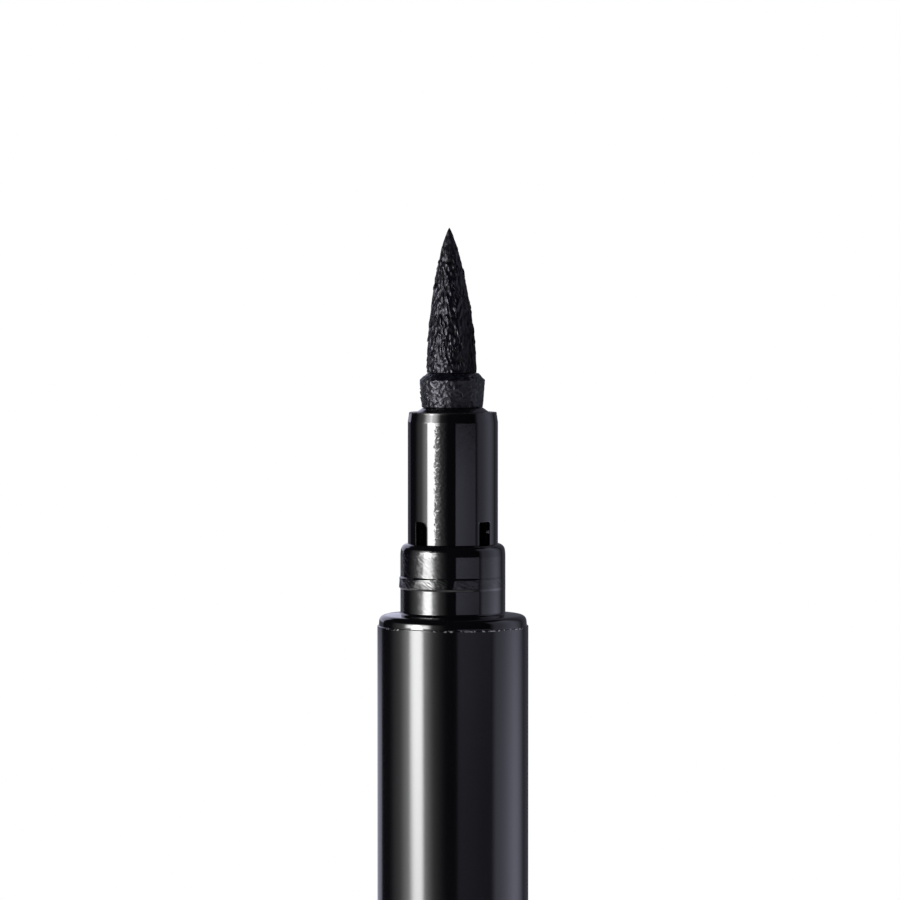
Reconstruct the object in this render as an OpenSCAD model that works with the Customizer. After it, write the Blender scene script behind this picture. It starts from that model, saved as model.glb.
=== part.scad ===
// Liquid eyeliner pen, standing upright on its cap, which is posted on the tail.
// Sizes are in millimetres. The pen's axis is Z, and the cap's closed end stands on z = 0.

/* [Barrel] */
// Outer diameter of the barrel and of the cap
barrel_d = 10.5; // [10.2:0.1:12]
// Length of the barrel sleeve
barrel_len = 96; // [86:1:110]
// Wall of the drawn metal sleeves of the barrel and the cap
sleeve_wall = 0.4; // [0.3:0.05:0.5]
// Wall of the ink cartridge
cartridge_wall = 0.8; // [0.6:0.05:1]

/* [Flanges] */
// How far the flanges at the barrel's two ends lie in from its side
flange_in = 0.16; // [0.06:0.01:0.3]
// Height of a flange's side wall
flange_len = 0.58; // [0.5:0.02:0.8]
// Rounding of a flange's outer edge
flange_round = 0.34; // [0.2:0.02:0.44]
// Rise of a flange's face from its edge to the cap seat
dome_rise = 0.22; // [0.1:0.02:0.3]

/* [Cap seat] */
// Diameter of the seat that the cap slides on, as a share of the barrel's
seat_share = 0.695; // [0.66:0.005:0.72]
// Length of the seat
seat_len = 4.85; // [4.5:0.05:6]
// Rounding of the seat's shoulder
seat_round = 0.3; // [0.15:0.05:0.4]
// Width of the snap bead round the seat
bead_w = 1; // [0.8:0.05:1.2]
// Height of the snap bead above the seat
bead_h = 0.1; // [0.06:0.01:0.12]
// Distance from the seat's foot to the middle of the bead
bead_at = 2; // [1.6:0.1:2.4]

/* [Nozzle] */
// Diameter of the nozzle, as a share of the seat's
nozzle_share = 0.858; // [0.84:0.002:0.88]
// Length of the nozzle above the seat
nozzle_len = 9.12; // [8.5:0.02:11]
// Length of the slight taper at the nozzle's mouth
taper_len = 0.9; // [0.6:0.1:1.4]
// Depth of that taper
taper_in = 0.15; // [0.05:0.01:0.2]
// Number of air vents round the nozzle's foot
vent_count = 4; // [2:1:6]
// Width of an air vent
vent_w = 1.05; // [0.6:0.05:1.2]
// Height of an air vent
vent_h = 1.6; // [1:0.1:2.4]

/* [Nib] */
// Diameter of the felt point at its base, as a share of the nozzle's
nib_share = 0.556; // [0.52:0.002:0.58]
// Length of the felt point
nib_len = 10.05; // [9:0.05:11]
// Diameter of the felt collar at its top edge, as a share of the nozzle's
nib_collar_share = 0.72; // [0.7:0.002:0.75]
// Diameter of the felt collar at its foot, as a share of the nozzle's
nib_collar_foot_share = 0.672; // [0.666:0.002:0.69]
// Height of the felt collar's side
nib_collar_len = 1.9; // [1.6:0.05:2.4]
// Height of the felt collar's sloping shoulder
nib_shoulder_len = 0.5; // [0.3:0.05:0.7]
// Diameter of the nib's shank, as a share of the nozzle's
shank_share = 0.48; // [0.45:0.005:0.49]
// Length of the nib's shank
shank_len = 7.6; // [6.5:0.1:8.5]

/* [Ink feed] */
// Diameter of the feed wick
wick_d = 1.6; // [1.4:0.05:1.7]
// Number of fins on the ink collector
fin_count = 22; // [12:1:28]
// Distance from one fin to the next
fin_pitch = 0.7; // [0.6:0.05:0.9]
// Thickness of a fin
fin_t = 0.3; // [0.2:0.05:0.4]
// Diameter of the mixing ball
ball_d = 4; // [3:0.1:5]

/* [Cap] */
// How far the nose presses the inner cap back when the cap is on it
seal_press = 0.4; // [0.2:0.05:0.6]
// Length of the spring behind the inner cap
spring_len = 5.6; // [5:0.1:7]
// Free room between the nib's point and the inner cap
tip_room = 2; // [1.5:0.1:4]
// Thickness of the cap sleeve's closed end
cap_end_t = 0.5; // [0.4:0.05:0.8]
// Rounding of the cap's closed end
cap_round = 0.6; // [0.3:0.05:0.9]

/* [Hidden] */
$fn = 96;

// Clearances
press_gap = 0.02;     // between pieces that are pressed together
bead_gap = 0.05;      // between the snap bead and the cap's mouth
rest_gap = 0.05;      // between the inner cap and the step that it rests on
slide_gap = 0.1;      // round a piece that slides
stop_gap = 0.1;       // between the tail's flange and the mouth of the cap
tail_gap = 0.3;       // between the end of the tail and the inner cap
face_gap = 0.2;       // between the flange's face and the cap liner
ball_gap = 0.2;       // between the ball and the dish it lies in
ball_stop_gap = 0.5;  // between the ball at the top of its travel and the wick
fin_gap = 0.2;        // between the fins and the cartridge
wick_gap = 0.08;      // round the wick in the collector
over = 0.5;           // by which a cutter overruns what it cuts

// Small edges
arc_steps = 4;
edge_round = 0.1;

// Radii of the pen
barrel_r = barrel_d / 2;
sleeve_in_r = barrel_r - sleeve_wall;
lining_r = sleeve_in_r - press_gap;
cartridge_in_r = lining_r - cartridge_wall;
plug_r = cartridge_in_r - press_gap;
flange_r = barrel_r - flange_in;
seat_r = seat_share * barrel_r;
bead_r = seat_r + bead_h;
nozzle_r = nozzle_share * seat_r;
nozzle_wall = 0.93;
duct_r = nozzle_r - nozzle_wall;
holder_wall = 0.6;
holder_r = nozzle_r - holder_wall;
spigot_wall = 0.56;
spigot_r = duct_r + spigot_wall;
shank_r = shank_share * nozzle_r;
nib_r = nib_share * nozzle_r;
nib_collar_r = nib_collar_share * nozzle_r;
nib_collar_foot_r = nib_collar_foot_share * nozzle_r;
wick_r = wick_d / 2;
wick_bore_r = wick_r + wick_gap;
stem_wall = 0.7;
stem_r = wick_bore_r + stem_wall;

// Heights on the nose, counted up from the barrel's front face
seat_foot_h = flange_len + dome_rise;
seat_top_h = seat_foot_h + seat_len;
bead_mid_h = seat_foot_h + bead_at;
spigot_len = 4.2;
skirt_len = 4.5;
lip_h = 0.33;
lip_in = 0.45;
vent_round = 0.12;

// Depths in the cap, counted from its mouth
inner_cap_mouth = dome_rise + seat_len - stop_gap - seal_press;
nose_len = dome_rise + seat_len - stop_gap + nozzle_len
    + lip_h + nib_collar_len + nib_shoulder_len + nib_len;
inner_cap_room = nose_len + tip_room;
inner_cap_end_t = 0.8;
inner_cap_end = inner_cap_room + inner_cap_end_t;
seal_t = 0.8;
seal_step = 0.35;
liner_recess = dome_rise + face_gap;
bead_depth = dome_rise + bead_at - stop_gap;
spring_end = inner_cap_end + press_gap + spring_len;
spring_seat_t = 1.2;
spring_boss_h = 1.2;
spring_seat_top = spring_end + press_gap;
spring_seat_end = spring_seat_top + spring_seat_t;
cap_len = spring_seat_end + press_gap + cap_end_t;

// Radii inside the cap
mouth_r = bead_r + bead_gap;
groove_deep = 0.1;
groove_side = 0.12;
retain_step = 0.15;
inner_cap_r = mouth_r + retain_step;
guide_r = inner_cap_r + slide_gap;
nozzle_room = 0.175;
inner_bore_r = nozzle_r + nozzle_room;

// Heights in the whole pen
tail_z = cap_len + stop_gap + flange_len;
front_z = tail_z + barrel_len;
seat_top_z = front_z + seat_top_h;
nozzle_top_z = seat_top_z + nozzle_len;
collar_foot_z = nozzle_top_z + lip_h;
collar_edge_z = collar_foot_z + nib_collar_len;
nib_z = collar_edge_z + nib_shoulder_len;
nib_tip_z = nib_z + nib_len;
shank_foot_z = nib_z - shank_len;
socket_len = 2.5;
holder_foot = 1.4;
holder_foot_z = shank_foot_z - holder_foot;

// Ink feed, counted down from the skirt of the cap seat
skirt_z = front_z - skirt_len;
fins_len = fin_count * fin_pitch;
fins_z = skirt_z - fins_len;
plug_len = 3.2;
plug_z = fins_z - plug_len;
feed_tube_len = 2.5;
feed_tube_wall = 0.6;
feed_tube_z = plug_z - feed_tube_len;
wick_dip = 2;
wick_foot_z = feed_tube_z - wick_dip;
land_at = 1;
land_len = 2;
land_top_z = skirt_z + land_at + land_len;
seal_wire = 1;
seal_z = plug_z + plug_len / 2;
slit_w = 0.25;
slit_in = 0.3;
air_slot_w = 1.2;

// Tail plug
tail_seat_len = inner_cap_mouth - tail_gap - dome_rise + stop_gap;
tail_plug_len = 8;
tail_plug_gap = 0.12;
rib_len = 0.8;
rib_at = 1.2;
tail_seal_at = 4;
tail_seal_z = tail_z + tail_seal_at;
core_wall = 1.25;
core_r = seat_r - core_wall;
core_more = 3;
dish_deep = 1;
ball_r = ball_d / 2;
dish_r = ball_r + ball_gap;
tail_end_z = tail_z - seat_foot_h - tail_seat_len;
tail_plug_top_z = tail_z + tail_plug_len;
ball_z = tail_plug_top_z - dish_deep + dish_r;
ball_travel = wick_foot_z - ball_stop_gap - ball_r - ball_z;

// Spring
spring_wire_r = 0.2;
spring_turns = 5;
spring_sides = 6;
spring_steps = 24;
spring_r = 2.3;
spring_boss_r = spring_r - spring_wire_r - slide_gap;

echo(cap_len = cap_len, tail_z = tail_z, front_z = front_z, seat_top_z = seat_top_z);
echo(nozzle_top_z = nozzle_top_z, nib_z = nib_z, nib_tip_z = nib_tip_z);
echo(ball_z = ball_z, ball_travel = ball_travel, spring_fixed_z = in_cap(spring_end));
echo(inner_cap_room_z = in_cap(inner_cap_room), inner_cap_mouth_z = in_cap(inner_cap_mouth));
echo(tail_end_z = tail_end_z, spring_gap = coil_gap());

// Height of a point that lies a given depth inside the cap
function in_cap(depth) = cap_len - depth;

// Least gap between neighbouring turns of the spring
function coil_gap() = (spring_len - 2 * spring_wire_r) / spring_turns - 2 * spring_wire_r;

// Points of an arc in an outline
function arc(centre, radius, from, to) = [
    for (i = [0 : arc_steps])
        let (a = from + (to - from) * i / arc_steps)
        centre + radius * [cos(a), sin(a)]
];

// A solid turned from half of its section, given as [radius, height] points
module turned(outline) {
    rotate_extrude() polygon(outline);
}

// The outside of a flange with a cap seat, as [radius, height above the barrel's end]
function seat_outline(length) =
    let (
        bead_arc_r = (bead_w * bead_w / 4 + bead_h * bead_h) / (2 * bead_h),
        bead_angle = asin(bead_w / 2 / bead_arc_r),
        end_h = seat_foot_h + length
    )
    concat(
        [[flange_r, 0]],
        arc([flange_r - flange_round, flange_len - flange_round], flange_round, 0, 90),
        [[seat_r, seat_foot_h]],
        arc([bead_r - bead_arc_r, bead_mid_h], bead_arc_r, -bead_angle, bead_angle),
        arc([seat_r - seat_round, end_h - seat_round], seat_round, 0, 90)
    );

// The ring groove of a round seal, cut into a plug that fills the cartridge
module seal_groove(z) {
    translate([0, 0, z - seal_wire / 2]) difference() {
        cylinder(r = plug_r + over, h = seal_wire);
        cylinder(r = plug_r - seal_wire, h = seal_wire);
    }
}

// A round seal that lies in such a groove
module round_seal(z) {
    translate([0, 0, z]) rotate_extrude()
        translate([plug_r - seal_wire / 2, 0]) circle(r = seal_wire / 2 - press_gap, $fn = 32);
}

// Radius of the felt point, as a share of its base, at a share of its length from the tip
point_swell = 1.7;
point_blunt = 0.78;
point_rings = 14;
ring_crowding = 1.5;
function point_share(t) = pow(1 - pow(1 - t, point_swell), point_blunt);

module felt_nib() {
    color("#17161c") difference() {
        union() {
            turned(concat(
                [[0, nib_z]],
                [for (i = [point_rings : -1 : 0])
                    let (t = pow(i / point_rings, ring_crowding))
                    [nib_r * point_share(t), nib_tip_z - nib_len * t]]
            ));
            translate([0, 0, shank_foot_z]) cylinder(r = shank_r, h = shank_len + press_gap);
        }
        translate([0, 0, shank_foot_z - over]) cylinder(r = wick_r + press_gap, h = socket_len + over);
    }
}

module nib_collar() {
    color("#1c1b21") turned([
        [shank_r + press_gap, collar_foot_z],
        [nib_collar_foot_r, collar_foot_z],
        [nib_collar_r, collar_edge_z],
        [nib_r + press_gap, nib_z - press_gap],
        [shank_r + press_gap, nib_z - press_gap]
    ]);
}

module nib_holder() {
    color("#101013") turned([
        [wick_bore_r, holder_foot_z],
        [holder_r, holder_foot_z],
        [holder_r, nozzle_top_z],
        [holder_r - lip_in, collar_foot_z - press_gap],
        [shank_r + press_gap, collar_foot_z - press_gap],
        [shank_r + press_gap, shank_foot_z - press_gap],
        [wick_bore_r, shank_foot_z - press_gap]
    ]);
}

// An air vent with rounded upper corners, cut outwards from the nozzle's axis
module vent() {
    corner_y = vent_w / 2 - vent_round;
    corner_z = vent_h - vent_round;
    translate([0, 0, seat_top_z]) rotate([90, 0, 90])
        linear_extrude(height = nozzle_r + over)
            polygon(concat(
                [[-vent_w / 2, 0], [vent_w / 2, 0]],
                arc([corner_y, corner_z], vent_round, 0, 90),
                arc([-corner_y, corner_z], vent_round, 90, 180)
            ));
}

module nozzle() {
    color("#08080a") difference() {
        turned([
            [duct_r, seat_top_z - spigot_len],
            [spigot_r, seat_top_z - spigot_len],
            [spigot_r, seat_top_z],
            [nozzle_r, seat_top_z],
            [nozzle_r, nozzle_top_z - taper_len],
            [nozzle_r - taper_in, nozzle_top_z],
            [holder_r + press_gap, nozzle_top_z],
            [holder_r + press_gap, holder_foot_z - press_gap],
            [duct_r, holder_foot_z - press_gap]
        ]);
        for (i = [0 : vent_count - 1])
            rotate([0, 0, (i + 0.5) * 360 / vent_count]) vent();
    }
}

module cap_seat() {
    color("#08080a") turned(concat(
        [for (p = seat_outline(seat_len)) [p[0], front_z + p[1]]],
        [
            [spigot_r + press_gap, seat_top_z],
            [spigot_r + press_gap, seat_top_z - spigot_len - press_gap],
            [duct_r, seat_top_z - spigot_len - press_gap],
            [duct_r, skirt_z],
            [plug_r, skirt_z],
            [plug_r, front_z]
        ]
    ));
}

module feed_wick() {
    wick_top_z = shank_foot_z + socket_len - press_gap;
    color("#24222a") turned([
        [0, wick_foot_z],
        [wick_r, wick_foot_z],
        [wick_r, wick_top_z - wick_r],
        [wick_r / 2, wick_top_z],
        [0, wick_top_z]
    ]);
}

module ink_collector() {
    fin_r = cartridge_in_r - fin_gap;
    stem_top_z = holder_foot_z - slide_gap;
    slot_len = land_top_z - fins_z + over;
    color("#2a2a2e") difference() {
        union() {
            translate([0, 0, plug_z]) cylinder(r = stem_r, h = stem_top_z - plug_z);
            for (i = [0 : fin_count - 1])
                translate([0, 0, fins_z + i * fin_pitch]) cylinder(r = fin_r, h = fin_t);
            translate([0, 0, plug_z]) cylinder(r = plug_r, h = plug_len - fin_pitch + fin_t);
            translate([0, 0, land_top_z - land_len]) cylinder(r = duct_r - press_gap, h = land_len);
            translate([0, 0, feed_tube_z])
                cylinder(r = wick_bore_r + feed_tube_wall, h = feed_tube_len + over);
        }
        seal_groove(seal_z);
        translate([0, 0, feed_tube_z - over])
            cylinder(r = wick_bore_r, h = stem_top_z - feed_tube_z + 2 * over);
        translate([stem_r - slit_in, -slit_w / 2, fins_z])
            cube([cartridge_in_r, slit_w, fins_len]);
        translate([-stem_r - cartridge_in_r, -air_slot_w / 2, fins_z])
            cube([cartridge_in_r, air_slot_w, slot_len]);
    }
}

module collector_seal() {
    color("#2b2b2e") round_seal(seal_z);
}

module ink_cartridge() {
    low_z = tail_z + press_gap;
    high_z = front_z - press_gap;
    color("#cfcdc8") turned([
        [cartridge_in_r, low_z],
        [lining_r, low_z],
        [lining_r, high_z],
        [cartridge_in_r, high_z]
    ]);
}

module barrel_sleeve() {
    color("#0b0b0e") turned(concat(
        [[sleeve_in_r, tail_z]],
        arc([barrel_r - edge_round, tail_z + edge_round], edge_round, -90, 0),
        arc([barrel_r - edge_round, front_z - edge_round], edge_round, 0, 90),
        [[sleeve_in_r, front_z]]
    ));
}

module mixing_ball() {
    color("#c9ccd1") translate([0, 0, ball_z]) sphere(r = ball_r);
}

module tail_seal() {
    color("#2b2b2e") round_seal(tail_seal_z);
}

module tail_plug() {
    body_r = cartridge_in_r - tail_plug_gap;
    color("#08080a") difference() {
        union() {
            turned(concat(
                [for (p = seat_outline(tail_seat_len)) [p[0], tail_z - p[1]]],
                [[0, tail_end_z], [0, tail_plug_top_z], [body_r, tail_plug_top_z], [body_r, tail_z]]
            ));
            for (z = [tail_z + rib_at, tail_plug_top_z - rib_at])
                translate([0, 0, z - rib_len / 2]) cylinder(r = plug_r, h = rib_len);
        }
        seal_groove(tail_seal_z);
        translate([0, 0, ball_z]) sphere(r = dish_r);
        translate([0, 0, tail_end_z - over])
            cylinder(r = core_r, h = tail_z - tail_end_z + core_more + over);
    }
}

module cap_sleeve() {
    color("#0b0b0e") turned(concat(
        [[0, 0]],
        arc([barrel_r - cap_round, cap_round], cap_round, -90, 0),
        arc([barrel_r - edge_round, cap_len - edge_round], edge_round, 0, 90),
        [[sleeve_in_r, cap_len], [sleeve_in_r, cap_end_t], [0, cap_end_t]]
    ));
}

module cap_liner() {
    step_z = in_cap(inner_cap_mouth - rest_gap);
    end_z = in_cap(spring_seat_top) + press_gap;
    groove_z = in_cap(bead_depth);
    groove_half = bead_w / 2 + groove_side;
    color("#1a1a1d") turned([
        [lining_r, in_cap(liner_recess)],
        [lining_r, end_z],
        [guide_r, end_z],
        [guide_r, step_z],
        [mouth_r, step_z],
        [mouth_r, groove_z - groove_half],
        [mouth_r + groove_deep, groove_z - bead_w / 2],
        [mouth_r + groove_deep, groove_z + bead_w / 2],
        [mouth_r, groove_z + groove_half],
        [mouth_r, in_cap(liner_recess)]
    ]);
}

module inner_cap() {
    mouth_z = in_cap(inner_cap_mouth);
    color("#e4e2de") turned([
        [0, in_cap(inner_cap_end)],
        [inner_cap_r, in_cap(inner_cap_end)],
        [inner_cap_r, mouth_z],
        [inner_cap_r - seal_step, mouth_z],
        [inner_cap_r - seal_step, mouth_z - seal_t],
        [inner_bore_r, mouth_z - seal_t],
        [inner_bore_r, in_cap(inner_cap_room)],
        [0, in_cap(inner_cap_room)]
    ]);
}

module inner_cap_seal() {
    seal_out_r = inner_cap_r - seal_step - press_gap;
    seal_in_r = nozzle_r + bead_gap;
    high_z = in_cap(inner_cap_mouth);
    low_z = high_z - seal_t + press_gap;
    color("#2b2b2e") turned([
        [seal_in_r, low_z],
        [seal_out_r, low_z],
        [seal_out_r, high_z],
        [seal_in_r, high_z]
    ]);
}

// A round wire wound along a helix, as one closed skin
module coil(mean_r, wire_r, height, turns) {
    rings = turns * spring_steps;
    function centre(i) =
        let (a = 360 * i / spring_steps)
        [mean_r * cos(a), mean_r * sin(a), height * i / rings];
    function ring(i) =
        let (a = 360 * i / spring_steps)
        [for (k = [0 : spring_sides - 1])
            let (b = 360 * k / spring_sides)
            centre(i) + wire_r * [cos(b) * cos(a), cos(b) * sin(a), sin(b)]];
    points = [for (i = [0 : rings]) each ring(i)];
    side_faces = [
        for (i = [0 : rings - 1], k = [0 : spring_sides - 1])
            let (
                a = i * spring_sides + k,
                b = i * spring_sides + (k + 1) % spring_sides
            )
            each [[a, b, b + spring_sides], [a, b + spring_sides, a + spring_sides]]
    ];
    last = rings * spring_sides;
    start_face = [for (k = [1 : spring_sides - 2]) [0, k + 1, k]];
    end_face = [for (k = [1 : spring_sides - 2]) [last, last + k, last + k + 1]];
    polyhedron(points = points, faces = concat(side_faces, start_face, end_face));
}

module inner_cap_spring() {
    color("#b9bcc2") translate([0, 0, in_cap(spring_end) + spring_wire_r])
        coil(spring_r, spring_wire_r, spring_len - 2 * spring_wire_r, spring_turns);
}

module spring_seat() {
    low_z = in_cap(spring_seat_end);
    high_z = in_cap(spring_seat_top);
    color("#1a1a1d") turned([
        [0, low_z],
        [lining_r, low_z],
        [lining_r, high_z],
        [spring_boss_r, high_z],
        [spring_boss_r, high_z + spring_boss_h],
        [0, high_z + spring_boss_h]
    ]);
}

felt_nib();
nib_collar();
nib_holder();
nozzle();
cap_seat();
feed_wick();
ink_collector();
collector_seal();
ink_cartridge();
barrel_sleeve();
mixing_ball();
tail_seal();
tail_plug();
cap_sleeve();
cap_liner();
inner_cap();
inner_cap_seal();
inner_cap_spring();
spring_seat();
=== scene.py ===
"""Liquid eyeliner pen: the looks of its pieces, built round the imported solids."""

import math
import random

import bmesh
import bpy
from mathutils import Matrix, Vector, noise

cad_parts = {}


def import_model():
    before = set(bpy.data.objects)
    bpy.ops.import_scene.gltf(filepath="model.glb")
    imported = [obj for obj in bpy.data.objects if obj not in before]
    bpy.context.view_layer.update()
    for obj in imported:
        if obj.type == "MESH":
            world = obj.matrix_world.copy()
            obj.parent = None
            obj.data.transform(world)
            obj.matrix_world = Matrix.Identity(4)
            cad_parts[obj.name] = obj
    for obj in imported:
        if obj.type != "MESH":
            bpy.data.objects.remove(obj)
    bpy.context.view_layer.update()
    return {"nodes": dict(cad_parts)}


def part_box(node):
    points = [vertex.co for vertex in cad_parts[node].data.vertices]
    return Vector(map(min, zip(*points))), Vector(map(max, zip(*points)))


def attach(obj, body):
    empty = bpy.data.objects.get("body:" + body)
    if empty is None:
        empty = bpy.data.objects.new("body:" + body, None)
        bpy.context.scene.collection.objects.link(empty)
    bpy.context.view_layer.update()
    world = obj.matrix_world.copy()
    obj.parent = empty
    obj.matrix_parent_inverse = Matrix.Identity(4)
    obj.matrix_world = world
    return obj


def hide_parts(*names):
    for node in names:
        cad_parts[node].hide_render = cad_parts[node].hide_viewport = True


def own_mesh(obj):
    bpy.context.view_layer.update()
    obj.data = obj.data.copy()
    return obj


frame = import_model()

MM = 0.001
DEGREES = 180 / math.pi

# Sizes in millimetres, as in the part's source
BARREL_R = 5.25
SLEEVE_IN_R = 4.85
FLANGE_R = 5.09
FLANGE_LEN = 0.58
FLANGE_ROUND = 0.34
DOME_RISE = 0.22
SEAT_R = 3.64875
SEAT_ROUND = 0.3
BEAD_AT = 2.0
BEAD_HALF = 0.45
BEAD_H = 0.1
SPIGOT_BORE_R = 2.78
SPIGOT_R = 2.76
SPIGOT_LEN = 4.2
DUCT_R = 2.2006
SKIRT_R = 4.01
SKIRT_LEN = 4.5
NOZZLE_R = 3.1306
TAPER_LEN = 0.68
TAPER_IN = 0.16
HOLDER_R = 2.5306
LIP_R = 2.0806
SHANK_R = 1.5027
WICK_BORE_R = 0.88
COLLAR_FOOT_R = 2.1038
COLLAR_R = 2.2541
NIB_R = 1.7406
EDGE_ROUND = 0.1
FINE_ROUND = 0.03
PRESS_GAP = 0.02

# Heights in millimetres
CAP_TOP = 37.03
CAP_END_T = 0.5
CAP_ROUND = 0.6
TAIL = 37.71
TAIL_END = 32.76
TAIL_PLUG_TOP = 45.71
FRONT = 133.71
SEAM = 133.66
SEAT_FOOT = 134.51
SEAT_TOP = 139.36
NOZZLE_TOP = 148.48
COLLAR_FOOT = 148.81
COLLAR_EDGE = 150.71
NIB_FOOT = 151.21
NIB_TIP = 161.26
NIB_LEN = NIB_TIP - NIB_FOOT
SHANK_FOOT = 143.61
HOLDER_FOOT = 142.21


# Shader maths


class Value:
    """What a shader node gives. Python's operators on it add Math nodes."""

    def __init__(self, shader, socket):
        self.shader = shader
        self.socket = socket

    def math(self, operation, *values):
        return self.shader.node("ShaderNodeMath", {"operation": operation}, dict(enumerate(values)))

    def __add__(self, other):
        return self.math("ADD", self, other)

    def __radd__(self, other):
        return self.math("ADD", other, self)

    def __sub__(self, other):
        return self.math("SUBTRACT", self, other)

    def __rsub__(self, other):
        return self.math("SUBTRACT", other, self)

    def __mul__(self, other):
        return self.math("MULTIPLY", self, other)

    def __truediv__(self, other):
        return self.math("DIVIDE", self, other)

    def __pow__(self, other):
        return self.math("POWER", self, other)

    def step(self, low, high):
        """0 below low, 1 above high and smooth between them."""
        return self.shader.node(
            "ShaderNodeMapRange",
            {"interpolation_type": "SMOOTHSTEP"},
            {"Value": self, "From Min": low, "From Max": high},
        )

    def band(self, low, high, soft):
        """1 between low and high, and 0 outside them."""
        half = soft / 2
        return self.step(low - half, low + half) * (1 - self.step(high - half, high + half))


class Shader:
    """The nodes of a material or of the world."""

    def __init__(self, owner):
        owner.use_nodes = True
        self.tree = owner.node_tree
        self.tree.nodes.clear()

    def node(self, kind, settings, inputs, output=0):
        made = self.tree.nodes.new(kind)
        for name, value in settings.items():
            setattr(made, name, value)
        for name, value in inputs.items():
            if isinstance(value, Value):
                self.tree.links.new(value.socket, made.inputs[name])
            else:
                made.inputs[name].default_value = value
        return Value(self, made.outputs[output]) if made.outputs else None

    def mix(self, share, first, second):
        """A colour between two colours."""
        inputs = {0: share, 6: first, 7: second}
        return self.node("ShaderNodeMix", {"data_type": "RGBA"}, inputs, output=2)

    def place(self):
        return self.node("ShaderNodeTexCoord", {}, {}, output="Object")

    def split(self, vector):
        """The three numbers of a vector."""
        made = self.tree.nodes.new("ShaderNodeSeparateXYZ")
        self.tree.links.new(vector.socket, made.inputs[0])
        return [Value(self, socket) for socket in made.outputs]

    def joined(self, x, y, z):
        return self.node("ShaderNodeCombineXYZ", {}, {0: x, 1: y, 2: z})

    def noise(self, vector, sizes, detail, twist=0.0):
        """Noise from 0 to 1. The sizes of its grain along X, Y and Z are in millimetres."""
        scale = [1 / (size * MM) for size in sizes]
        scaled = self.node("ShaderNodeVectorMath", {"operation": "MULTIPLY"}, {0: vector, 1: scale})
        inputs = {"Vector": scaled, "Scale": 1.0, "Detail": detail, "Distortion": twist}
        return self.node("ShaderNodeTexNoise", {}, inputs)

    def bump(self, height, depth):
        """A normal for a height from 0 to 1. The depth is in millimetres."""
        inputs = {"Height": height, "Strength": 1.0, "Distance": depth * MM}
        return self.node("ShaderNodeBump", {}, inputs)

    def surface(self, **inputs):
        named = {}
        for name, value in inputs.items():
            named[name.replace("_", " ").title().replace("Ior", "IOR")] = value
        made = self.node("ShaderNodeBsdfPrincipled", {}, named)
        self.node("ShaderNodeOutputMaterial", {}, {"Surface": made})


def colour(red, green, blue):
    return (red, green, blue, 1.0)


def even(size):
    """A grain of one size along X, Y and Z."""
    return (size, size, size)


def new_material(name):
    material = bpy.data.materials.new(name)
    shader = Shader(material)
    return material, shader, shader.place()


# Materials. Grains and heights are in millimetres, and angles in degrees from the front.

LACQUER_BLACK = colour(0.0018, 0.0018, 0.003)
BARE_METAL = colour(0.5, 0.5, 0.52)
MOULDING_BLACK = colour(0.0018, 0.0018, 0.0028)
FELT_SHEEN = colour(0.9, 0.88, 1.0)
STEEL_PALE = colour(0.66, 0.67, 0.70)
STEEL_DARK = colour(0.54, 0.55, 0.58)
PLASTIC_GRAIN_DEPTH = 0.002
STEEL_GRAIN_DEPTH = 0.001
# The scratches fall by about 35 degrees from left to right
SCRATCH_SIN = 0.57
SCRATCH_COS = 0.82


def black_lacquer():
    """Glossy black lacquer on drawn aluminium, worn to bare metal at its open edges, most on the left."""
    material, shader, place = new_material("black_lacquer")
    x, _, z = shader.split(place)
    height = z / MM
    edges = height.step(SEAM - 0.14, SEAM - 0.06)
    for mouth in (TAIL, CAP_TOP):
        edges = edges + height.band(mouth - EDGE_ROUND, mouth + EDGE_ROUND, 0.06)
    patches = shader.noise(place, even(1.1), detail=2.0, twist=0.7).step(0.4, 0.6)
    left = 1 - (x / MM).step(-4.6, -3.4)
    spots = shader.noise(place, even(0.24), detail=2.0) + patches * 0.14 + left * 0.07
    wear = spots.step(0.655, 0.69) * edges
    peel = shader.noise(place, (0.4, 0.4, 0.5), detail=3.0)
    dents = shader.noise(place, even(0.16), detail=2.0)
    haze = shader.noise(place, (1.2, 1.2, 6.0), detail=4.0)
    shader.surface(
        base_color=shader.mix(wear, LACQUER_BLACK, BARE_METAL),
        metallic=wear,
        roughness=0.125 + haze * 0.05 + wear * 0.2,
        specular_ior_level=0.86,
        normal=shader.bump(peel * 0.0006 + dents * wear * 0.07, 1.0),
    )
    return material


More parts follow.
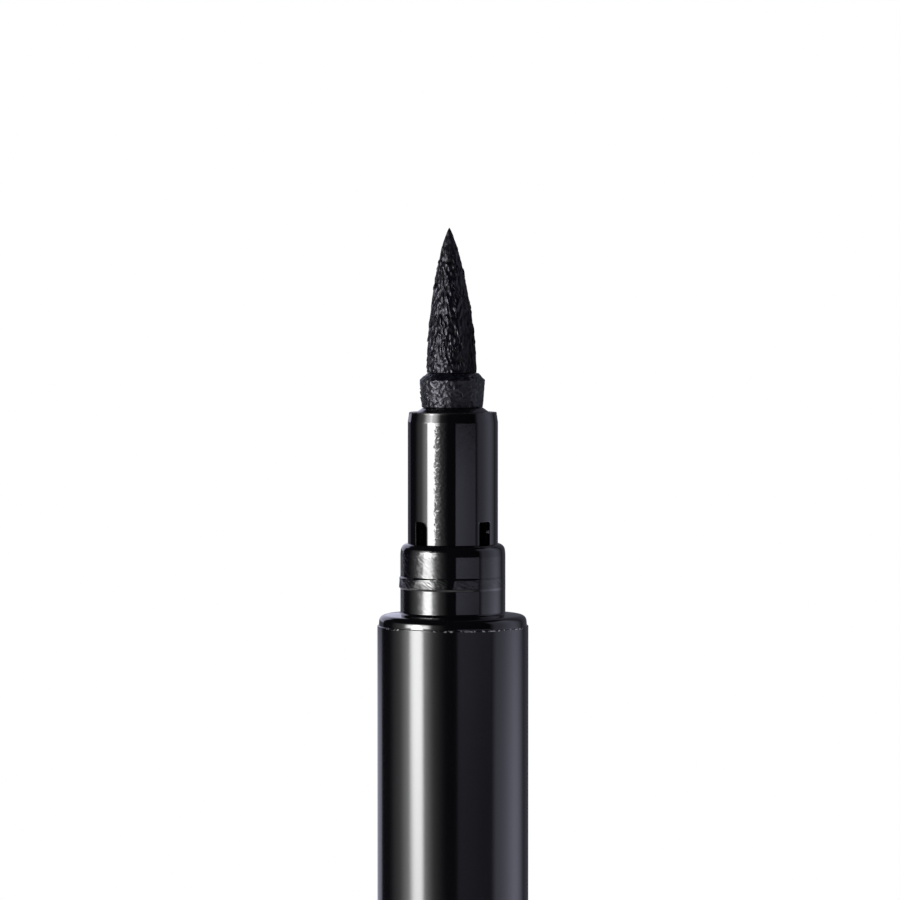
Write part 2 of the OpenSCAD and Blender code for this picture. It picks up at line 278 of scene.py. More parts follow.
def gloss_moulding(name, ripple, sides, heights, scuffs):
    """Glossy black plastic. It is rippled between two angles from the front and between two heights.
    The scuffs are bands of height that a cap's rim has rubbed, each with its depth."""
    material, shader, place = new_material(name)
    x, y, z = shader.split(place)
    angle = x.math("ARCTAN2", x, 0 - y)
    height = z / MM
    side = angle * DEGREES
    handled = side.band(*sides, 8) * height.band(*heights, 0.3)
    relief = shader.noise(place, (0.8, 0.8, 1.4), detail=2.0) * 0.0014
    relief = relief + shader.noise(place, (0.15, 0.15, 0.17), detail=2.0) * 0.0003
    ripples = shader.noise(place, (0.26, 0.26, 0.2), detail=0.5, twist=0.4)
    relief = relief + ripples * handled * ripple
    arc = angle * SEAT_R
    across = (arc * SCRATCH_SIN + height * SCRATCH_COS) * MM
    along = (arc * SCRATCH_COS - height * SCRATCH_SIN) * MM
    slanted = shader.joined(along, across, 0.0)
    scratches = shader.noise(slanted, (0.7, 0.075, 1.0), detail=3.0, twist=0.4).step(0.5, 0.66)
    dull = shader.noise(place, (0.5, 0.5, 1.0), detail=3.0) * 0.03
    for low, high, depth in scuffs:
        rubbed = height.band(low, high, 0.16) * (0.08 + side.band(-85, -12, 20))
        relief = relief + scratches * rubbed * depth
        dull = dull + rubbed * 0.06
    mouth = height.band(NOZZLE_TOP - 0.06, NOZZLE_TOP + 0.05, 0.04)
    shader.surface(
        base_color=MOULDING_BLACK,
        roughness=0.055 + dull + mouth * 0.28,
        specular_ior_level=1.0,
        normal=shader.bump(relief, 1.0),
    )
    return material


def inked_felt(name, grain, depth, rough, drier, gloss, dark, pale):
    """Bonded fibres soaked with black ink, drier on the right side and at the point, and wettest on the
    collar's shoulder. The grain is the size of a tuft along X, Y and Z."""
    material, shader, place = new_material(name)
    tufts = shader.noise(place, grain, detail=0.0, twist=0.25)
    fuzz = shader.noise(place, [size * 0.4 for size in grain], detail=1.0)
    crests = tufts.step(0.42, 0.62)
    x, _, z = shader.split(place)
    height = z / MM
    dry = (x / MM).step(0.3, 1.3) * drier + height.step(NIB_TIP - 2.4, NIB_TIP - 0.8) * 0.24
    shoulder = height.band(COLLAR_EDGE, NIB_FOOT, 0.06) * (x / MM).step(-1.5, -1.0)
    dry = dry * (1 - shoulder) - shoulder * 0.26
    shader.surface(
        base_color=shader.mix(crests, dark, pale),
        roughness=rough - crests * 0.13 + dry,
        specular_ior_level=gloss,
        specular_tint=FELT_SHEEN,
        normal=shader.bump(tufts * 0.94 + fuzz * 0.06, depth),
    )
    return material


def plain_plastic(name, tone, rough, grain):
    """Moulded plastic with a fine grain, and broad patches that are a little darker."""
    material, shader, place = new_material(name)
    fine = shader.noise(place, even(grain), detail=3.0)
    broad = shader.noise(place, even(grain * 14), detail=2.0)
    darker = colour(*[channel * 0.86 for channel in tone])
    shader.surface(
        base_color=shader.mix(broad, colour(*tone), darker),
        roughness=rough + broad * 0.08,
        normal=shader.bump(fine, PLASTIC_GRAIN_DEPTH),
    )
    return material


def bright_steel():
    """Bright stainless steel with fine drawn lines."""
    material, shader, place = new_material("bright_steel")
    lines = shader.noise(place, (0.05, 0.05, 0.6), detail=3.0)
    shader.surface(
        base_color=shader.mix(lines, STEEL_PALE, STEEL_DARK),
        metallic=1.0,
        roughness=0.18 + lines * 0.12,
        normal=shader.bump(lines, STEEL_GRAIN_DEPTH),
    )
    return material


LACQUER = black_lacquer()
NOZZLE_GLOSS = gloss_moulding(
    "nozzle_moulding",
    ripple=0.012,
    sides=(-29, -9),
    heights=(SEAT_TOP + 0.3, NOZZLE_TOP - TAPER_LEN - 0.1),
    scuffs=[],
)
SEAT_GLOSS = gloss_moulding(
    "seat_moulding",
    ripple=0.009,
    sides=(-52, -10),
    heights=(SEAT_FOOT + 2.4, SEAT_TOP),
    scuffs=[
        (SEAT_FOOT + 0.1, SEAT_FOOT + 1.66, 0.0015),
        (SEAT_FOOT + 1.74, SEAT_FOOT + 2.56, 0.016),
        (SEAT_FOOT + 2.6, SEAT_FOOT + 4.2, 0.003),
        (TAIL_END + 1.7, TAIL_END + 2.6, 0.016),
    ],
)
NIB_FELT = inked_felt(
    "nib_felt",
    grain=(0.235, 0.235, 0.42),
    depth=0.18,
    rough=0.4,
    drier=0.6,
    gloss=0.44,
    dark=colour(0.0009, 0.0007, 0.0016),
    pale=colour(0.0026, 0.0022, 0.0052),
)
COLLAR_FELT = inked_felt(
    "collar_felt",
    grain=(0.27, 0.27, 0.3),
    depth=0.12,
    rough=0.48,
    drier=0.2,
    gloss=0.68,
    dark=colour(0.0016, 0.0016, 0.003),
    pale=colour(0.0045, 0.0045, 0.008),
)
DARK_PLASTIC = plain_plastic("dark_plastic", tone=(0.022, 0.022, 0.025), rough=0.42, grain=0.12)
NATURAL_PLASTIC = plain_plastic("natural_plastic", tone=(0.62, 0.60, 0.56), rough=0.38, grain=0.3)
RUBBER = plain_plastic("seal_rubber", tone=(0.03, 0.03, 0.032), rough=0.55, grain=0.08)
STEEL = bright_steel()


# Shapes


def rounded(corners, steps=6):
    """An outline with rounded corners. Each corner is (radius, height) or (radius, height, rounding)."""
    made = []
    for i, corner in enumerate(corners):
        here = Vector(corner[:2])
        if len(corner) == 2:
            made.append(here)
            continue
        back = (Vector(corners[i - 1][:2]) - here).normalized()
        ahead = (Vector(corners[(i + 1) % len(corners)][:2]) - here).normalized()
        half = back.angle(ahead) / 2
        centre = here + (back + ahead).normalized() * corner[2] / math.sin(half)
        start = here + back * corner[2] / math.tan(half) - centre
        end = here + ahead * corner[2] / math.tan(half) - centre
        turn = math.atan2(start.cross(end), start.dot(end))
        for k in range(steps + 1):
            made.append(centre + Matrix.Rotation(turn * k / steps, 2) @ start)
    return made


def firmed(points, reach=0.02):
    """The outline with a point near each end of its long lines, which keeps them straight in smooth
    shading."""
    made = []
    for i, here in enumerate(points):
        there = points[(i + 1) % len(points)]
        made.append(here)
        if (there - here).length > 6 * reach:
            along = (there - here).normalized() * reach
            made += [here + along, there - along]
    return made


def turned_mesh(points, steps):
    """A solid turned about the pen's axis from a closed outline of (radius, height) points, in
    millimetres."""
    bm = bmesh.new()
    verts = [bm.verts.new((radius * MM, 0, height * MM)) for radius, height in points]
    edges = [bm.edges.new((verts[i - 1], verts[i])) for i in range(len(verts))]
    on_axis = [e for e in edges if all(abs(v.co.x) < 1e-9 for v in e.verts)]
    bmesh.ops.delete(bm, geom=on_axis, context="EDGES_FACES")
    bmesh.ops.spin(
        bm, geom=bm.verts[:] + bm.edges[:], axis=(0, 0, 1), cent=(0, 0, 0),
        angle=math.tau, steps=steps, use_merge=True,
    )
    bmesh.ops.remove_doubles(bm, verts=bm.verts, dist=1e-8)
    bmesh.ops.dissolve_degenerate(bm, edges=bm.edges, dist=1e-9)
    bmesh.ops.recalc_face_normals(bm, faces=bm.faces)
    return bm


def shade(bm, sharp=35.0):
    """Smooth faces, with a crease at each edge sharper than the angle."""
    for face in bm.faces:
        face.smooth = True
    for edge in bm.edges:
        if len(edge.link_faces) == 2:
            edge.smooth = edge.calc_face_angle(0.0) < math.radians(sharp)


def added(name, data):
    """A new object in the scene."""
    made = bpy.data.objects.new(name, data)
    bpy.context.scene.collection.objects.link(made)
    return made


def piece(name, bm, material, body, slot, *nodes):
    """A visible piece that rides on a body and stands for nodes."""
    mesh = bpy.data.meshes.new(name)
    bm.to_mesh(mesh)
    bm.free()
    mesh.materials.append(material)
    made = added(name, mesh)
    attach(made, body)
    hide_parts(*nodes)
    return made


def turned(name, corners, material, body, slot, node, steps):
    bm = turned_mesh(firmed(rounded(corners)), steps)
    shade(bm)
    return piece(name, bm, material, body, slot, node)


def bevelled(bm, edges, width, segments, clamp=False):
    """Rounded edges. The width is in millimetres."""
    bmesh.ops.bevel(
        bm, geom=edges, offset=width * MM, segments=segments, affect="EDGES",
        profile=0.5, material=-1, clamp_overlap=clamp,
    )


def sized(bm, verts, size):
    """A unit shape brought to a size in millimetres."""
    bmesh.ops.scale(bm, vec=[length * MM for length in size], verts=verts)


def moved(bm, verts, place):
    """A shape moved to a place in millimetres."""
    bmesh.ops.translate(bm, vec=[length * MM for length in place], verts=verts)


def bead(middle, rising):
    """The snap bead's outline, upwards or downwards: a low rib with a short step at each side."""
    made = []
    for k in range(-14, 15):
        side = min(1, (14 - abs(k)) / 4)
        ease = side * side * (3 - 2 * side)
        crown = 1 - 0.1 * (k / 14) ** 2
        made.append((SEAT_R + BEAD_H * ease * crown, middle + rising * BEAD_HALF * k / 14))
    return made


def drawn_in(radius, low, high, drop, steps=8):
    """Points up a wall whose radius falls ever faster, by the drop in all."""
    shares = [k / steps for k in range(steps + 1)]
    return [(radius - drop * share**2, low + (high - low) * k / steps) for k, share in enumerate(shares)]


FRONT_EDGE_ROUND = 0.06
CAP_IN_ROUND = 0.2


def barrel_sleeve():
    turned(
        "lacquered_barrel_sleeve",
        [
            (SLEEVE_IN_R, TAIL, FINE_ROUND),
            (BARREL_R, TAIL, EDGE_ROUND),
            (BARREL_R, SEAM, FRONT_EDGE_ROUND),
            (SLEEVE_IN_R, SEAM, FINE_ROUND),
        ],
        LACQUER, "pen", "black_lacquer", "barrel_sleeve", steps=160,
    )


def cap_sleeve():
    turned(
        "lacquered_cap_sleeve",
        [
            (0, 0),
            (BARREL_R, 0, CAP_ROUND),
            (BARREL_R, CAP_TOP, EDGE_ROUND),
            (SLEEVE_IN_R, CAP_TOP, FINE_ROUND),
            (SLEEVE_IN_R, CAP_END_T, CAP_IN_ROUND),
            (0, CAP_END_T),
        ],
        LACQUER, "cap", "black_lacquer", "cap_sleeve", steps=160,
    )


# The front seat's own sizes in millimetres, where they aren't the tail seat's
FLANGE_FOOT_R = FLANGE_R + 0.055
FLANGE_TOP_R = FLANGE_R + 0.01
FLANGE_TOP = FRONT + FLANGE_LEN + 0.07
FLANGE_SOFT_ROUND = 0.45
SEAT_FOOT_ROUND = 0.12
SEAT_TOP_R = SEAT_R - 0.055
SEAT_SOFT_ROUND = 0.5
SKIRT_ROUND = 0.15
BEAD_LIFT = 0.15
BEAD_GRAIN = 1.1
BEAD_UNEVEN = 0.9
BEAD_SHARE = 0.36
BEAD_OFFSET = 0.6


def cap_seat():
    """The stepped seat. Its bead was moulded a little off the middle, so it stands proud on one side."""
    middle = SEAT_FOOT + BEAD_AT + BEAD_LIFT
    corners = [
        (SKIRT_R, SEAM),
        (FLANGE_FOOT_R, SEAM),
        *drawn_in(FLANGE_FOOT_R, SEAM + 0.02, SEAM + 0.24, 0.014),
        (FLANGE_TOP_R, FLANGE_TOP, FLANGE_SOFT_ROUND),
        (SEAT_R, SEAT_FOOT, SEAT_FOOT_ROUND),
        *bead(middle, 1),
        *drawn_in(SEAT_R, SEAT_TOP - 0.82, SEAT_TOP - 0.54, 0.021),
        (SEAT_TOP_R, SEAT_TOP, SEAT_SOFT_ROUND),
        (SPIGOT_BORE_R, SEAT_TOP, FINE_ROUND),
        (SPIGOT_BORE_R, SEAT_TOP - SPIGOT_LEN - PRESS_GAP),
        (DUCT_R, SEAT_TOP - SPIGOT_LEN - PRESS_GAP),
        (DUCT_R, FRONT - SKIRT_LEN),
        (SKIRT_R, FRONT - SKIRT_LEN, SKIRT_ROUND),
    ]
    bm = turned_mesh(firmed(rounded(corners)), steps=160)
    for v in bm.verts:
        radius = Vector(v.co[:2]).length
        if abs(v.co.z / MM - middle) < BEAD_HALF and radius > (SEAT_R + 0.001) * MM:
            uneven = 1 + BEAD_UNEVEN * noise.noise(v.co / MM * BEAD_GRAIN + Vector((3, 0, 0)))
            sided = max(0.05, BEAD_SHARE - BEAD_OFFSET * v.co.x / radius)
            proud = (radius - SEAT_R * MM) * sided * max(0.15, uneven)
            grown = (SEAT_R * MM + proud) / radius
            v.co.x *= grown
            v.co.y *= grown
    shade(bm)
    piece("stepped_cap_seat", bm, SEAT_GLOSS, "pen", "black_moulding", "cap_seat")


# The tail plug's own sizes in millimetres
PLUG_R = 3.91
TAIL_WALL = 1.25
TAIL_BORE_LEN = 3
SEAL_GROOVE_R = 3.01
SEAL_GROOVE_FOOT = 3.5
SEAL_GROOVE_TOP = 4.5
BALL_DISH_R = 1.2
BALL_DISH_MOUTH_R = 1.87


def tail_plug():
    bore_r = SEAT_R - TAIL_WALL
    turned(
        "stepped_tail_plug",
        [
            (PLUG_R, TAIL),
            (FLANGE_R, TAIL, 0.04),
            (FLANGE_R, TAIL - FLANGE_LEN, FLANGE_ROUND),
            (SEAT_R, TAIL - FLANGE_LEN - DOME_RISE, 0.08),
            *bead(TAIL - FLANGE_LEN - DOME_RISE - BEAD_AT, -1),
            (SEAT_R, TAIL_END, SEAT_ROUND),
            (bore_r, TAIL_END, 0.12),
            (bore_r, TAIL + TAIL_BORE_LEN, 0.4),
            (0, TAIL + TAIL_BORE_LEN),
            (0, TAIL_PLUG_TOP - 1),
            (BALL_DISH_R, TAIL_PLUG_TOP - 0.8),
            (BALL_DISH_MOUTH_R, TAIL_PLUG_TOP, 0.1),
            (PLUG_R, TAIL_PLUG_TOP, 0.3),
            (PLUG_R, TAIL + SEAL_GROOVE_TOP),
            (SEAL_GROOVE_R, TAIL + SEAL_GROOVE_TOP),
            (SEAL_GROOVE_R, TAIL + SEAL_GROOVE_FOOT),
            (PLUG_R, TAIL + SEAL_GROOVE_FOOT),
        ],
        SEAT_GLOSS, "pen", "black_moulding", "tail_plug", steps=144,
    )


def nib_holder():
    turned(
        "nib_holder_lip",
        [
            (WICK_BORE_R, HOLDER_FOOT),
            (HOLDER_R, HOLDER_FOOT, EDGE_ROUND),
            (HOLDER_R, NOZZLE_TOP, FINE_ROUND),
            (LIP_R, COLLAR_FOOT - PRESS_GAP, 0.05),
            (SHANK_R + PRESS_GAP, COLLAR_FOOT - PRESS_GAP),
            (SHANK_R + PRESS_GAP, SHANK_FOOT - PRESS_GAP),
            (WICK_BORE_R, SHANK_FOOT - PRESS_GAP),
        ],
        NOZZLE_GLOSS, "pen", "black_moulding", "nib_holder", steps=96,
    )


# The nozzle's own sizes in millimetres. The rows are rings of the wall beside the vents.
NOZZLE_ROWS = (0.4, 0.8, 1.2, 1.6, 2.0, 2.6, 3.4)
LAND_LEN = 0.13
LAND_FOOT_R = NOZZLE_R - TAPER_IN * 0.53
LAND_TOP_R = NOZZLE_R - TAPER_IN * 0.58
VENT_W = 1.05
VENT_H = 1.6
VENT_TOP = SEAT_TOP + VENT_H
VENT_DEPTH = 2.06
VENT_MIDDLE_R = 3.36
VENT_BELOW = 1
VENT_ROUND = 0.14
VENT_WIDE_ROUND = 0.55
VENT_EDGE = 0.045
WIDE_VENTS = (0, 2)
TOOTHED_VENTS = (1, 3)
TOOTH_SIZE = (0.2, 0.47, 0.3)
TOOTH_MIDDLE = (NOZZLE_R - 0.17, VENT_W / 2 - 0.12, SEAT_TOP + 0.9)
TOOTH_ROUND = 0.03


def turn_to_vent(bm, verts, i):
    """The vents lie 90 degrees apart, and the first at 45 degrees."""
    turn = Matrix.Rotation(math.radians(45 + 90 * i), 3, "Z")
    bmesh.ops.rotate(bm, cent=(0, 0, 0), matrix=turn, verts=verts)


def vent_cutter():
    """Four blocks with rounded top corners, one for each vent."""
    cutter = bmesh.new()
    tall = VENT_H + VENT_BELOW
    for i in range(4):
        box = bmesh.new()
        bmesh.ops.create_cube(box, size=1)
        sized(box, box.verts, (VENT_DEPTH, VENT_W, tall))
        moved(box, box.verts, (VENT_MIDDLE_R, 0, VENT_TOP - tall / 2))
        for side in (-1, 1):
            corner = []
            for edge in box.edges:
                beside = all(v.co.y * side > 0.5 * VENT_W * MM - 1e-7 for v in edge.verts)
                if beside and all(v.co.z > (VENT_TOP - 0.01) * MM for v in edge.verts):
                    corner.append(edge)
            wide = side > 0 and i in WIDE_VENTS
            bevelled(box, corner, VENT_WIDE_ROUND if wide else VENT_ROUND, segments=5)
        turn_to_vent(box, box.verts, i)
        loose = bpy.data.meshes.new("vent_cutter")
        box.to_mesh(loose)
        cutter.from_mesh(loose)
        box.free()
    mesh = bpy.data.meshes.new("vent_cutters")
    cutter.to_mesh(mesh)
    cutter.free()
    return added("vent_cutters", mesh)


def vent_rims(bm):
    """The edges where the vents meet the nozzle's outer wall."""
    rims = []
    for edge in bm.edges:
        middle = (edge.verts[0].co + edge.verts[1].co) / 2
        outside = all(abs(Vector(v.co[:2]).length - NOZZLE_R * MM) < 2e-6 for v in edge.verts)
        beside = middle.z > (SEAT_TOP + 0.001) * MM and middle.z < (VENT_TOP + 0.02) * MM
        if outside and beside and len(edge.link_faces) == 2:
            if edge.calc_face_angle(0.0) > math.radians(50):
                rims.append(edge)
    return rims


def nozzle():
    """The nozzle with four air vents at its foot. Two have a moulded tooth on one side, and two have a
    wide round corner."""
    points = rounded(
        [
            (DUCT_R, SEAT_TOP - SPIGOT_LEN, 0.05),
            (SPIGOT_R, SEAT_TOP - SPIGOT_LEN, 0.15),
            (SPIGOT_R, SEAT_TOP),
            (NOZZLE_R, SEAT_TOP),
            *[(NOZZLE_R, SEAT_TOP + height) for height in NOZZLE_ROWS],
            (NOZZLE_R, NOZZLE_TOP - TAPER_LEN, 0.3),
            (LAND_FOOT_R, NOZZLE_TOP - LAND_LEN, 0.05),
            (LAND_TOP_R, NOZZLE_TOP, 0.045),
            (HOLDER_R + PRESS_GAP, NOZZLE_TOP, FINE_ROUND),
            (HOLDER_R + PRESS_GAP, HOLDER_FOOT - PRESS_GAP),
            (DUCT_R, HOLDER_FOOT - PRESS_GAP),
        ]
    )
    bm = turned_mesh(firmed(points), steps=160)
    shade(bm)
    made = piece("vented_nozzle", bm, NOZZLE_GLOSS, "pen", "black_moulding", "nozzle")

    cutter = vent_cutter()
    boolean = made.modifiers.new("vents", "BOOLEAN")
    boolean.operation = "DIFFERENCE"
    boolean.object = cutter
    bpy.context.view_layer.update()
    bm = bmesh.new()
    bm.from_object(made, bpy.context.evaluated_depsgraph_get())
    made.modifiers.clear()
    bpy.data.objects.remove(cutter)

    bevelled(bm, vent_rims(bm), VENT_EDGE, segments=2, clamp=True)
    bmesh.ops.dissolve_degenerate(bm, edges=bm.edges, dist=1e-6)
    for i in TOOTHED_VENTS:
        tooth = bmesh.ops.create_cube(bm, size=1)["verts"]
        sized(bm, tooth, TOOTH_SIZE)
        for v in tooth:
            if v.co.y < 0:
                v.co.z *= 0.4
                v.co.x *= 0.8
        moved(bm, tooth, TOOTH_MIDDLE)
        turn_to_vent(bm, tooth, i)
        bevelled(bm, list({e for v in tooth for e in v.link_edges}), TOOTH_ROUND, segments=2)
    shade(bm)
    bm.to_mesh(made.data)
    bm.free()


# Felt. Sizes are in millimetres.

FIBRE_STEPS = 5
FREE_SHARE = 0.1
FREE_LIFT = 0.05
CORE_SHARE = 0.985
WICK_SOCKET_R = 0.82
WICK_SOCKET_LEN = 2.5
COLLAR_HEM = 0.03
COLLAR_RISE = 1.84
COLLAR_SHIFT = 0.04


def nib_radius(t):
    """Radius of the felt point's core, at a share of its length from the tip."""
    return NIB_R * CORE_SHARE * (1 - (1 - t) ** 1.7) ** 0.78


def lean(height):
    """How far the felt point has bent sideways at a height."""
    up = max(0.0, (height - NIB_FOOT) / NIB_LEN)
    return -0.07 - 0.18 * up


def felt_relief(angle, radius, height):
    """Height of the felt's surface above its plain form."""
    across = Vector((math.cos(angle), math.sin(angle), 0)) * radius
    wander = noise.noise(Vector((across.x * 1.3, across.y * 1.3, height * 1.4))) * 0.5
    tuft = noise.noise(Vector((across.x * 4.0 + wander, across.y * 4.0 + wander, height * 2.1)))
    lump = noise.noise(Vector((across.x * 1.7, across.y * 1.7, height * 0.9 + 7)))
    return tuft * 0.04 + lump * 0.018 - 0.005


def felt_strands(count, seed, lengths, thickness, tilt, where, name):
    """Short fibres that lie in the felt's surface, as one mesh."""
    rng = random.Random(seed)
    curve = bpy.data.curves.new(name, "CURVE")
    curve.dimensions = "3D"
    curve.bevel_depth = MM
    curve.bevel_resolution = 1
    curve.use_fill_caps = True
    for _ in range(count):
        angle, height, radius_at = where(rng)
        length = rng.uniform(*lengths)
        slope = rng.gauss(0, tilt)
        swing = rng.uniform(-0.5, 0.5) * length * 0.36
        phase = rng.uniform(0, math.tau)
        thick = rng.uniform(*thickness)
        lift = rng.uniform(-0.5, 0.2) * thick
        free = rng.random() < FREE_SHARE
        spline = curve.splines.new("POLY")
        spline.points.add(FIBRE_STEPS)
        for k, point in enumerate(spline.points):
            share = k / FIBRE_STEPS
            z = height - length * math.cos(slope) * (share - 0.5)
            radius = radius_at(z)
            side = length * math.sin(slope) * (share - 0.5) + swing * math.sin(phase + share * 4.2)
            turn = angle + side / max(radius, 0.15)
            out = radius + felt_relief(turn, radius, z) + lift
            if free:
                out += FREE_LIFT * max(0.0, share - 0.5) * 2
            x = out * math.cos(turn) * MM + lean(z) * MM
            point.co = (x, out * math.sin(turn) * MM, z * MM, 1)
            point.radius = thick * (0.35 + 0.65 * math.sin(math.pi * min(max(share, 0.08), 0.92)))
    holder = added(name, curve)
    bpy.context.view_layer.update()
    graph = bpy.context.evaluated_depsgraph_get()
    mesh = bpy.data.meshes.new_from_object(holder.evaluated_get(graph))
    bpy.data.objects.remove(holder)
    return mesh


def add_strands(bm, strands):
    bm.from_mesh(strands)
    for face in bm.faces:
        face.smooth = True


def felt_nib():
    """The felt point: a turned core with a fibrous surface, and the fibres that lie in it."""
    rings = 230
    socket_end = SHANK_FOOT + WICK_SOCKET_LEN
    points = [Vector((0, socket_end)), Vector((WICK_SOCKET_R, socket_end))]
    points += [Vector((WICK_SOCKET_R, SHANK_FOOT)), Vector((SHANK_R, SHANK_FOOT))]
    points.append(Vector((SHANK_R, NIB_FOOT + PRESS_GAP)))
    for i in range(rings, -1, -1):
        t = (i / rings) ** 1.15
        points.append(Vector((nib_radius(t), NIB_TIP - NIB_LEN * t)))
    bm = turned_mesh(points, steps=210)
    for v in bm.verts:
        height = v.co.z / MM
        if height < NIB_FOOT - 0.001:
            continue
        radius = Vector(v.co[:2]).length / MM
        if radius > 0.004:
            angle = math.atan2(v.co.y, v.co.x)
            grip = min(1.0, (NIB_TIP - height) / 0.8) * min(1.0, (height - NIB_FOOT) / 0.1 + 0.2)
            out = radius + felt_relief(angle, radius, height) * grip
            out = max(out, radius * 0.6)
            v.co.x = out * math.cos(angle) * MM
            v.co.y = out * math.sin(angle) * MM
        v.co.x += lean(height) * MM

    def radius_at(height):
        return nib_radius(min(1.0, max(0.0, (NIB_TIP - height) / NIB_LEN)))

    def on_point(rng):
        while True:
            t = rng.random() ** 0.62
            if 0.1 < t < 0.965:
                break
        return rng.uniform(-math.pi, math.pi), NIB_TIP - NIB_LEN * t, radius_at

    strands = felt_strands(
        240, seed=11, lengths=(0.3, 0.6), thickness=(0.045, 0.07), tilt=0.34,
        where=on_point, name="nib_fibres",
    )
    shade(bm, 180)
    add_strands(bm, strands)
    piece("felt_point", bm, NIB_FELT, "pen", "nib_felt", "felt_nib")


def collar_radius(share):
    """Radius of the collar's side at a share of its height."""
    return COLLAR_FOOT_R + (COLLAR_R - COLLAR_FOOT_R) * share


def nib_collar():
    """The felt sleeve round the nib's root."""
    side_rows = 44
    shoulder_rows = 12
    points = [Vector((SHANK_R + PRESS_GAP, COLLAR_FOOT)), Vector((COLLAR_FOOT_R - 0.04, COLLAR_FOOT))]
    for k in range(side_rows + 1):
        share = k / side_rows
        points.append(Vector((collar_radius(share), COLLAR_FOOT + COLLAR_HEM + COLLAR_RISE * share)))
    for k in range(1, shoulder_rows + 1):
        share = k / shoulder_rows
        radius = COLLAR_R - (COLLAR_R - NIB_R - COLLAR_HEM) * share
        points.append(Vector((radius, COLLAR_EDGE + (NIB_FOOT - COLLAR_EDGE - COLLAR_HEM) * share)))
    points.append(Vector((SHANK_R + PRESS_GAP, NIB_FOOT - PRESS_GAP)))
    bm = turned_mesh(points, steps=240)
    for v in bm.verts:
        radius = Vector(v.co[:2]).length / MM
        if radius < NIB_R - 0.02:
            continue
        fine = noise.noise(v.co / MM * 5.0) * 0.022
        grain = fine + noise.noise(v.co / MM * 2.1) * 0.012 + 0.01
        grown = (radius + grain) / radius
        v.co.x *= grown
        v.co.y *= grown
        if radius > NIB_R + 0.2:
            v.co.x -= COLLAR_SHIFT * MM

    def radius_at(height):
        return collar_radius((height - COLLAR_FOOT) / (COLLAR_EDGE - COLLAR_FOOT)) - 0.01

    def on_side(rng):
        angle = rng.uniform(-math.pi, math.pi)
        return angle, rng.uniform(COLLAR_FOOT + 0.12, COLLAR_EDGE - 0.12), radius_at

    strands = felt_strands(
        200, seed=5, lengths=(0.16, 0.3), thickness=(0.035, 0.05), tilt=1.2,
        where=on_side, name="collar_fibres",
    )
    add_strands(bm, strands)
    piece("felt_collar", bm, COLLAR_FELT, "pen", "collar_felt", "nib_collar")


# Steel pieces

BALL_SHARE = 0.999
BALL_ROWS = 40
WIRE_R = 0.2
WIRE_SHARE = 0.98
COIL_R = 2.3
COIL_TURNS = 5
COIL_STEPS = 30


def mixing_ball():
    """The steel ball that stirs the liquid."""
    low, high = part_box("mixing_ball")
    middle = (high.z + low.z) / 2 / MM
    radius = (high.z - low.z) / 2 / MM * BALL_SHARE
    points = []
    for k in range(BALL_ROWS + 1):
        t = math.pi * k / BALL_ROWS
        points.append(Vector((radius * math.sin(t), middle + radius * math.cos(t))))
    bm = turned_mesh(points, steps=80)
    shade(bm)
    piece("polished_mixing_ball", bm, STEEL, "ball", "bright_steel", "mixing_ball")


def spring():
    """The wire spring behind the inner cap, built at its rest length; the real one shortens as the cup is
    pressed.
    """
    low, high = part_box("inner_cap_spring")
    wire = WIRE_R * MM
    rise = (high.z - low.z) - 2 * wire
    bm = bmesh.new()
    made = bmesh.ops.create_circle(bm, segments=10, radius=wire * WIRE_SHARE, cap_ends=False)
    ring = made["verts"]
    bmesh.ops.rotate(bm, cent=(0, 0, 0), matrix=Matrix.Rotation(math.pi / 2, 3, "X"), verts=ring)
    bmesh.ops.translate(bm, vec=(COIL_R * MM, 0, low.z + wire), verts=ring)
    bmesh.ops.spin(
        bm, geom=bm.verts[:] + bm.edges[:], axis=(0, 0, 1), cent=(0, 0, 0),
        dvec=(0, 0, rise / (COIL_TURNS * COIL_STEPS)), angle=math.tau * COIL_TURNS,
        steps=COIL_TURNS * COIL_STEPS,
    )
    bmesh.ops.holes_fill(bm, edges=[e for e in bm.edges if e.is_boundary], sides=0)
    bmesh.ops.recalc_face_normals(bm, faces=bm.faces)
    shade(bm, 50)
    made = piece("inner_cap_wire_spring", bm, STEEL, "cap", "bright_steel", "inner_cap_spring")
    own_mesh(made)


barrel_sleeve()
cap_sleeve()
cap_seat()
tail_plug()
nib_holder()
nozzle()
felt_nib()
nib_collar()
mixing_ball()
spring()

# The solids that show as they are
for material, nodes in (
    (COLLAR_FELT, ["feed_wick"]),
    (DARK_PLASTIC, ["ink_collector", "cap_liner", "spring_seat"]),
    (NATURAL_PLASTIC, ["ink_cartridge", "inner_cap"]),
    (RUBBER, ["collector_seal", "tail_seal", "inner_cap_seal"]),
):
    for name in nodes:
        mesh = frame["nodes"][name].data
        mesh.materials.clear()
        mesh.materials.append(material)


# Studio. Lengths are in metres, and angles in degrees.

WHITE = colour(1, 1, 1)
FLOOR_GREY = colour(0.86, 0.86, 0.86)
CARD_VIOLET = colour(0.92, 0.92, 1.17)
FLOOR_R = 0.6
FLOOR_FADE = (0.3, 0.58)
TUBE_LIGHT = 10.2
GLOW_LIGHT = 1.4
HALO_LIGHT = 0.45
UPPER_LIGHT = 5.0
LENS_LIGHT = 9
ROOM_LIGHT = 0.01
CAMERA_PLACE = (-0.0002, -0.3268, 0.15834)
CAMERA_DOWN = 2.19


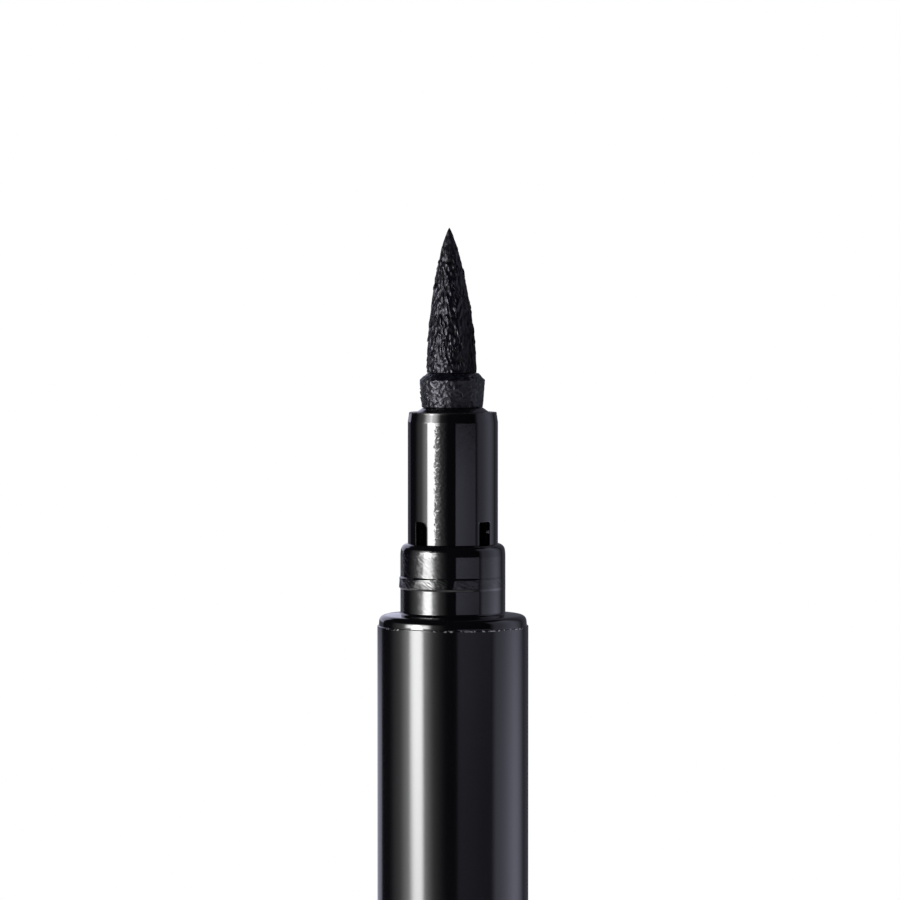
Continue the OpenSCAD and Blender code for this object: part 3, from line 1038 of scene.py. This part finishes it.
def floor():
    """A pale disc that fades out towards its rim."""
    bm = bmesh.new()
    bmesh.ops.create_circle(bm, segments=96, radius=FLOOR_R, cap_ends=True)
    mesh = bpy.data.meshes.new("floor")
    bm.to_mesh(mesh)
    bm.free()
    made = added("floor", mesh)
    material, shader, place = new_material("pale_floor")
    x, y, _ = shader.split(place)
    away = (x * x + y * y) ** 0.5
    pale = shader.node("ShaderNodeBsdfDiffuse", {}, {"Color": FLOOR_GREY})
    clear = shader.node("ShaderNodeBsdfTransparent", {}, {})
    both = shader.node("ShaderNodeMixShader", {}, {0: away.step(*FLOOR_FADE), 1: pale, 2: clear})
    shader.node("ShaderNodeOutputMaterial", {}, {"Surface": both})
    mesh.materials.append(material)


def softboxes(azimuth, height):
    """The white lights at the left: a bright tube with a bowed top and foot, the glow round it, a strip
    that the rounded tops catch, and a low one that the flange's edge catches."""
    off = (azimuth + 58) / 12
    bow = off * off
    tube = (azimuth + (height + 3) * 1.2).step(-77, -64) * (1 - azimuth.step(-52, -34)) * TUBE_LIGHT
    tube = tube * (1 - (height + bow * 18).step(7, 17)) * (height - bow * 12).step(-27, -22)
    tube = tube * (0.86 + height.band(-5.8, -4, 2) * 0.38 + height.step(-5, -3) * 0.14)
    glow = azimuth.band(-80, -38, 20) * GLOW_LIGHT + azimuth.band(-98, -26, 34) * HALO_LIGHT
    upper = azimuth.band(-72, -42, 20) * height.band(9, 15.5, 5) * UPPER_LIGHT
    lens = azimuth.band(-77, -38, 12) * height.band(0.5, 8, 5) * LENS_LIGHT
    return tube + glow * height.band(-30, 14, 10) + upper + lens


def grey_cards(azimuth, height):
    """The dim cards: two at the right that show as panels in the gloss, one behind, and the backdrop."""
    first = azimuth.band(7, 60, 1.5) * (0.11 + height.step(-6, -3) * 0.29)
    first = first * (1.12 - azimuth.step(7, 60) * 0.4) * (1 - height.step(-2.02, -1.9))
    second = azimuth.step(58, 72) * 0.62 + azimuth.step(72, 108) * 0.56
    second = second * (1 - azimuth.step(106, 142)) * (1 - height.step(-5.55, -3.05) * 0.58)
    behind = azimuth.band(138, 190, 10) * 0.1
    backdrop = azimuth.band(-190, -139, 4) * height.band(-20, 30, 10)
    backdrop = backdrop * (0.85 - height.band(-4.6, 1, 1.6) * 0.67)
    backdrop = backdrop * (0.7 + height.step(-2, 2) * 0.3)
    cards = first * height.band(-30, 14, 10) + second * height.band(-30, 46, 12) + behind
    return cards + backdrop


def world():
    """Studio walls painted by direction: azimuth 0 is the camera's side and grows to its right."""
    made = bpy.data.worlds.new("studio")
    bpy.context.scene.world = made
    shader = Shader(made)
    x, y, z = shader.split(shader.node("ShaderNodeTexCoord", {}, {}, output="Generated"))
    azimuth = x.math("ARCTAN2", x, 0 - y) * DEGREES
    height = z.math("ARCSINE", z) * DEGREES

    def background(tint, strength):
        return shader.node("ShaderNodeBackground", {}, {"Color": tint, "Strength": strength})

    white = background(WHITE, softboxes(azimuth, height) + ROOM_LIGHT)
    violet = background(CARD_VIOLET, grey_cards(azimuth, height))
    both = shader.node("ShaderNodeAddShader", {}, {0: white, 1: violet})
    seen = background(WHITE, 1.0)
    camera_ray = shader.node("ShaderNodeLightPath", {}, {}, output="Is Camera Ray")
    shown = shader.node("ShaderNodeMixShader", {}, {0: camera_ray, 1: both, 2: seen})
    shader.node("ShaderNodeOutputWorld", {}, {"Surface": shown})


def lamps():
    light = bpy.data.lights.new("overhead", "AREA")
    light.shape = "DISK"
    light.size = 0.5
    light.energy = 3.0
    made = added("overhead", light)
    made.location = (0, 0, 0.75)
    made.visible_glossy = False


def camera():
    data = bpy.data.cameras.new("camera")
    data.sensor_width = 36
    data.lens = 188.5
    data.clip_start = 0.01
    data.clip_end = 20
    made = added("camera", data)
    made.location = CAMERA_PLACE
    made.rotation_euler = (math.radians(90 - CAMERA_DOWN), 0, 0)
    bpy.context.scene.camera = made


floor()
world()
lamps()
camera()
bpy.context.scene.view_settings.view_transform = "Standard"
